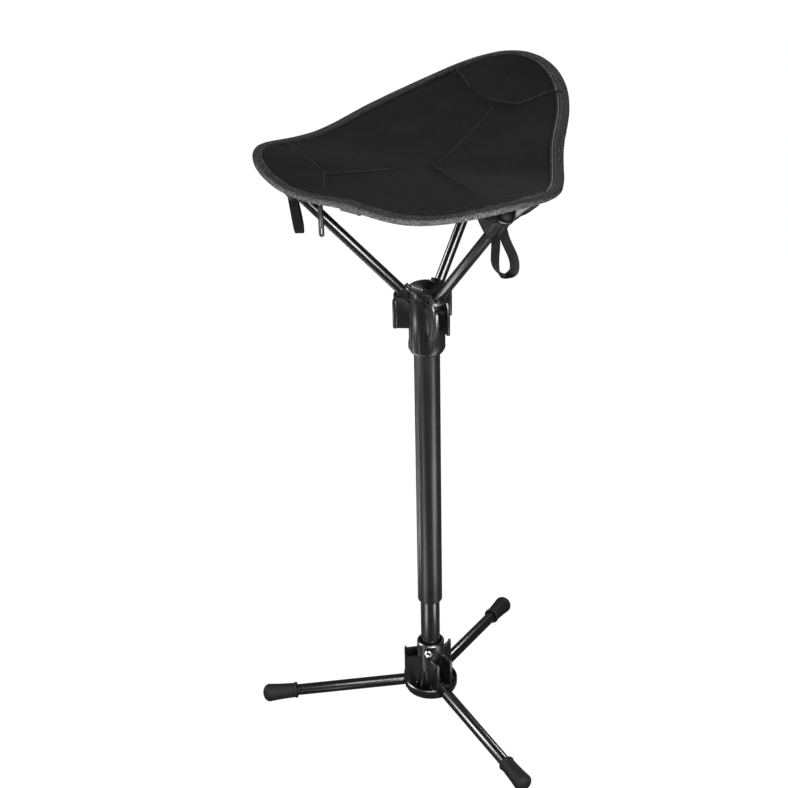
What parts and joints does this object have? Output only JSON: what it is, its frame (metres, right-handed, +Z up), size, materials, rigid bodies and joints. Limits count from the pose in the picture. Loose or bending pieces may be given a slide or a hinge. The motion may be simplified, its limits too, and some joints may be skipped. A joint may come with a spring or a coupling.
{
  "type": "telescopic folding stool",
  "caption": "Tripod stool with a telescoping mast, folding legs and arms, and a rounded triangular fabric sling seat held on the arm tips by corner pockets.",
  "frame": {"origin": "on the mast axis at floor level", "axes": "+Z up along the mast; one leg points along -X, the others at 60 degrees either side of +X"},
  "size_m": [0.3757, 0.3874, 0.7897],
  "materials": {
    "hub_plastic": "satin moulded",
    "mast_tube": "dark satin anodised",
    "inner_tube": "dark anodised, smoother",
    "gloss_tube": "gloss black",
    "foot_rubber": "matte",
    "eyelet_steel": "bright",
    "dark_steel": "blackened",
    "nylon": "natural",
    "seat_fabric": "plain woven",
    "binding_fabric": "woven edge binding",
    "webbing": "flat webbing"
  },
  "bodies": {
    "base": {"base_hub": "hub_plastic", "inner_tube": "inner_tube", "lock_plug": "nylon", "base_rivet": "eyelet_steel", "leg_pin_left": "dark_steel", "leg_pin_rear": "dark_steel", "leg_pin_front": "dark_steel"},
    "leg_left": {"leg_knuckle_left": "hub_plastic", "leg_tube_left": "gloss_tube", "foot_cap_left": "foot_rubber"},
    "leg_rear": {"leg_knuckle_rear": "hub_plastic", "leg_tube_rear": "gloss_tube", "foot_cap_rear": "foot_rubber"},
    "leg_front": {"leg_knuckle_front": "hub_plastic", "leg_tube_front": "gloss_tube", "foot_cap_front": "foot_rubber"},
    "lock": {"lock_sleeve": "nylon"},
    "mast": {"outer_tube": "mast_tube", "lower_bush": "nylon", "upper_hub": "hub_plastic", "hub_cap": "hub_plastic", "hub_screw": "dark_steel", "arm_pin_left": "dark_steel", "arm_pin_rear": "dark_steel", "arm_pin_front": "dark_steel"},
    "arm_left": {"arm_knuckle_left": "hub_plastic", "arm_tube_left": "gloss_tube", "arm_tip_left": "hub_plastic"},
    "arm_rear": {"arm_knuckle_rear": "hub_plastic", "arm_tube_rear": "gloss_tube", "arm_tip_rear": "hub_plastic"},
    "arm_front": {"arm_knuckle_front": "hub_plastic", "arm_tube_front": "gloss_tube", "arm_tip_front": "hub_plastic"},
    "seat": {"seat_sling": "seat_fabric", "rim_binding": "binding_fabric", "binding_tab": "webbing", "zip_tape": "webbing", "zip_slider": "dark_steel", "corner_pocket_left": "seat_fabric", "corner_pocket_rear": "seat_fabric", "corner_pocket_front": "seat_fabric", "pull_loop_left": "webbing", "pull_loop_rear": "webbing", "pull_loop_front": "webbing"},
    "puller": {"zip_puller": "dark_steel"}
  },
  "joints": [
    {"name": "leg_fold_left", "type": "hinge", "parent": "base", "child": "leg_left", "pos_m": [-0.019, 0, 0.03002], "axis": [0, 1, 0], "range_deg": [0, 88.8]},
    {"name": "leg_fold_rear", "type": "hinge", "parent": "base", "child": "leg_rear", "pos_m": [0.0095, 0.01645, 0.03002], "axis": [0.866, -0.5, 0], "range_deg": [0, 88.8]},
    {"name": "leg_fold_front", "type": "hinge", "parent": "base", "child": "leg_front", "pos_m": [0.0095, -0.01645, 0.03002], "axis": [-0.866, -0.5, 0], "range_deg": [0, 88.8]},
    {"name": "mast_twist", "type": "hinge", "parent": "base", "child": "lock", "pos_m": [0, 0, 0.42], "axis": [0, 0, 1], "range_deg": [-90, 90]},
    {"name": "mast_slide", "type": "slide", "parent": "lock", "child": "mast", "axis": [0, 0, 1], "range_m": [-0.058, 0.15]},
    {"name": "arm_fold_left", "type": "hinge", "parent": "mast", "child": "arm_left", "pos_m": [-0.01794, 0.00141, 0.5613], "axis": [-0.0785, -0.9969, 0], "range_deg": [0, 126], "deforming": ["corner_pocket_left", "pull_loop_left"]},
    {"name": "arm_fold_rear", "type": "hinge", "parent": "mast", "child": "arm_rear", "pos_m": [0.01019, 0.01483, 0.5613], "axis": [-0.8241, 0.5664, 0], "range_deg": [0, 128.5], "deforming": ["corner_pocket_rear", "pull_loop_rear"]},
    {"name": "arm_fold_front", "type": "hinge", "parent": "mast", "child": "arm_front", "pos_m": [0.00775, -0.01625, 0.5613], "axis": [0.9026, 0.4305, 0], "range_deg": [0, 126], "deforming": ["corner_pocket_front", "pull_loop_front"]},
    {"name": "seat_lift", "type": "slide", "parent": "mast", "child": "seat", "axis": [0, 0, 1], "range_m": [0, 0.12], "deforming": ["corner_pocket_left", "pull_loop_left", "corner_pocket_rear", "pull_loop_rear", "corner_pocket_front", "pull_loop_front"]},
    {"name": "puller_swing", "type": "hinge", "parent": "seat", "child": "puller", "pos_m": [-0.11064, -0.06971, 0.70751], "axis": [-0.6336, -0.7737, 0], "range_deg": [-75, 75]}
  ]
}
